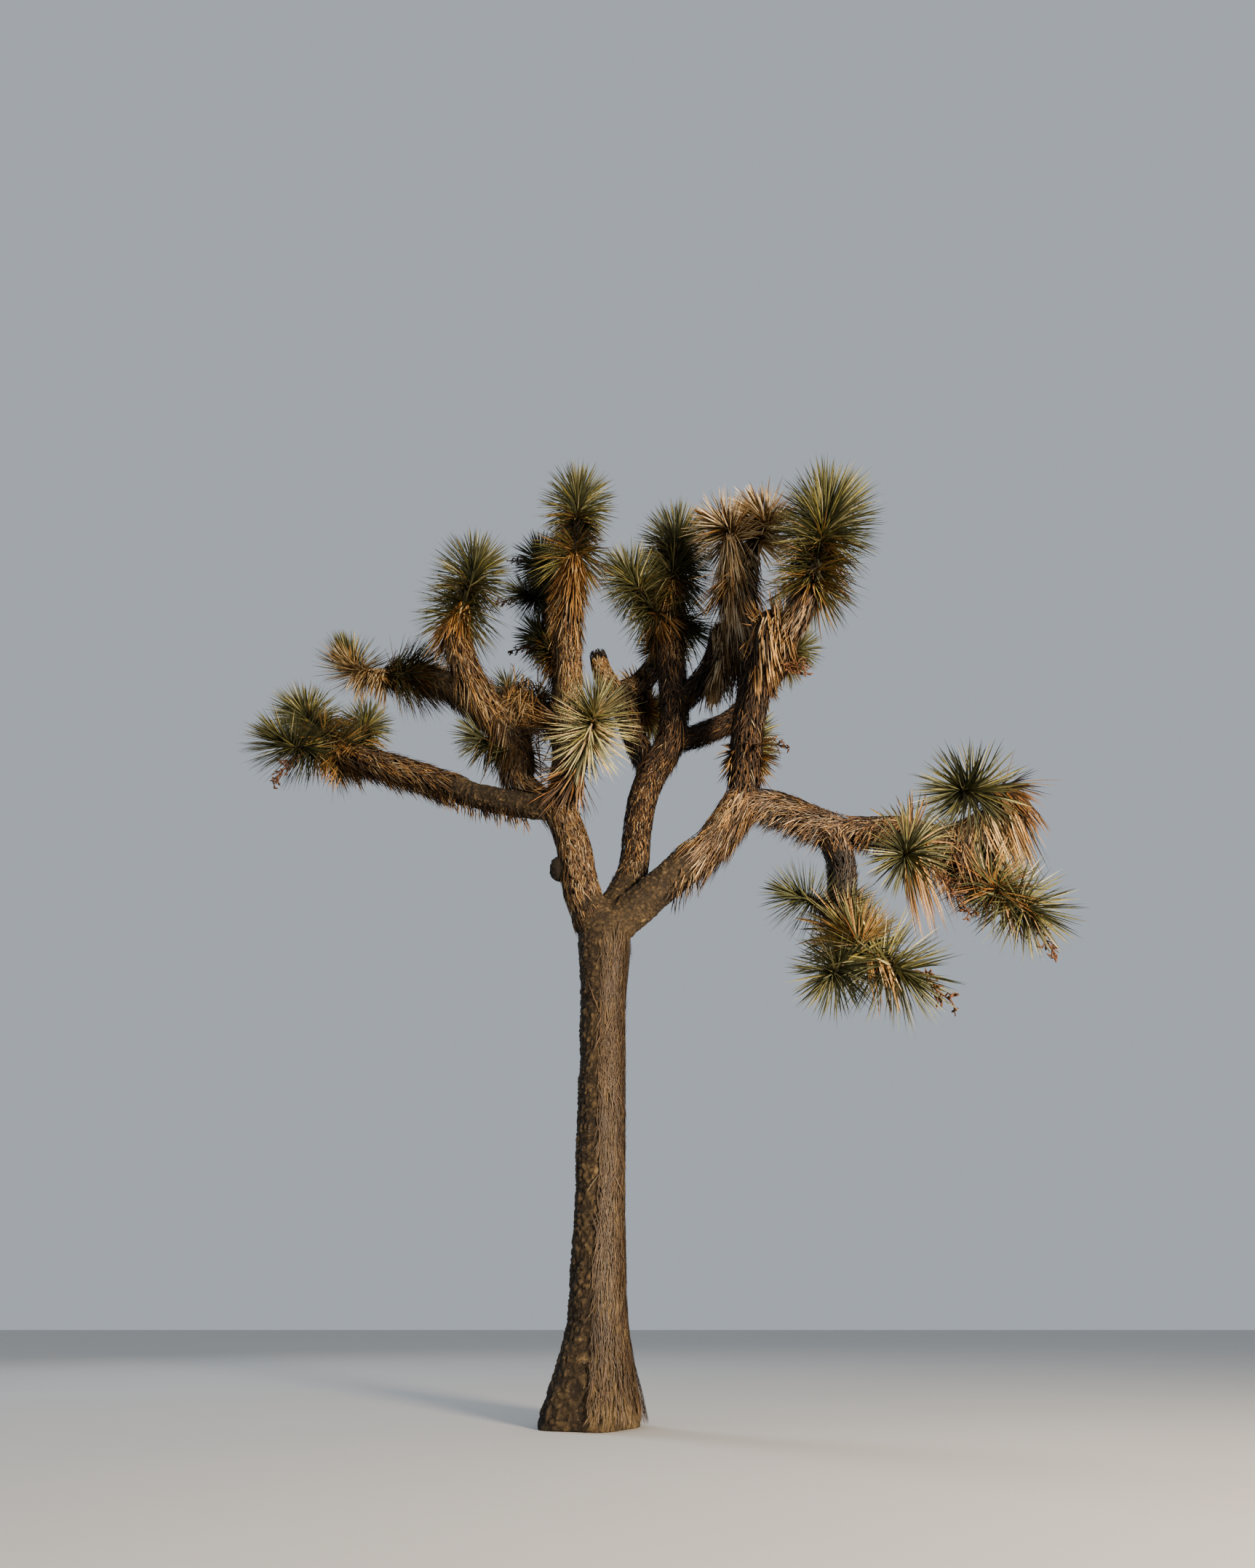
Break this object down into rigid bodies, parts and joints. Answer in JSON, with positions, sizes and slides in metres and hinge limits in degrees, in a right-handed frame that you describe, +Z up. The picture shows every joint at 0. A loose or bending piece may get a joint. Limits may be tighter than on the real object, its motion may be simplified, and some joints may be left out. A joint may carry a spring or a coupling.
{
  "type": "joshua tree",
  "caption": "Tall Joshua tree with a bare straight trunk, forking boughs thatched in dead leaves, and spiky heads of dagger leaves at the branch ends.",
  "frame": {"origin": "middle of the flat cut under the trunk, at ground level", "axes": "+Z up along the trunk, +X to the right in the view from the front, +Y away from the viewer"},
  "size_m": [5.898, 3.6094, 7.1345],
  "materials": {
    "bark": "rough grey-brown bark, worn smooth in places",
    "thatch": "matt thatch of dead leaves lying back along the bough",
    "green_leaves": "stiff olive-green dagger leaves, matt with a slight sheen",
    "straw_leaves": "dry straw-coloured dead leaves, matt"
  },
  "bodies": {
    "root": {"bough_back": "thatch", "bough_corner": "thatch", "bough_far_right": "thatch", "bough_hanging": "thatch", "bough_left_arm": "thatch", "bough_left_back": "thatch", "bough_left_long": "thatch", "bough_left_main": "thatch", "bough_left_post": "thatch", "bough_left_riser": "thatch", "bough_middle_back": "thatch", "bough_middle_left": "thatch", "bough_middle_main": "thatch", "bough_middle_right": "thatch", "bough_right_arch": "thatch", "bough_right_end": "thatch", "bough_right_long": "thatch", "bough_right_main": "bark", "bough_right_post": "thatch", "bough_straw": "thatch", "bough_straw_side": "thatch", "bough_stub": "bark", "bough_tall": "thatch", "leaves_back": "green_leaves", "leaves_back_arm": "green_leaves", "leaves_back_low": "green_leaves", "leaves_corner": "green_leaves", "leaves_drooping": "straw_leaves", "leaves_far_right": "green_leaves", "leaves_front": "green_leaves", "leaves_hanging_end": "green_leaves", "leaves_hanging_front": "green_leaves", "leaves_hanging_left": "green_leaves", "leaves_hanging_skirt": "straw_leaves", "leaves_hanging_tuft": "green_leaves", "leaves_left_arm": "green_leaves", "leaves_left_back": "green_leaves", "leaves_left_far_back": "green_leaves", "leaves_left_inner": "green_leaves", "leaves_left_post": "green_leaves", "leaves_left_tip": "green_leaves", "leaves_left_upper": "green_leaves", "leaves_middle_back": "green_leaves", "leaves_middle_side": "green_leaves", "leaves_middle_top": "green_leaves", "leaves_rear_centre": "green_leaves", "leaves_rear_left": "green_leaves", "leaves_rear_middle": "green_leaves", "leaves_rear_right": "green_leaves", "leaves_right_arch": "green_leaves", "leaves_right_behind": "green_leaves", "leaves_right_end": "green_leaves", "leaves_right_front": "green_leaves", "leaves_right_low": "green_leaves", "leaves_straw_left": "straw_leaves", "leaves_straw_right": "straw_leaves", "leaves_tall": "green_leaves", "leaves_under_left": "green_leaves", "trunk": "bark"}
  },
  "joints": []
}
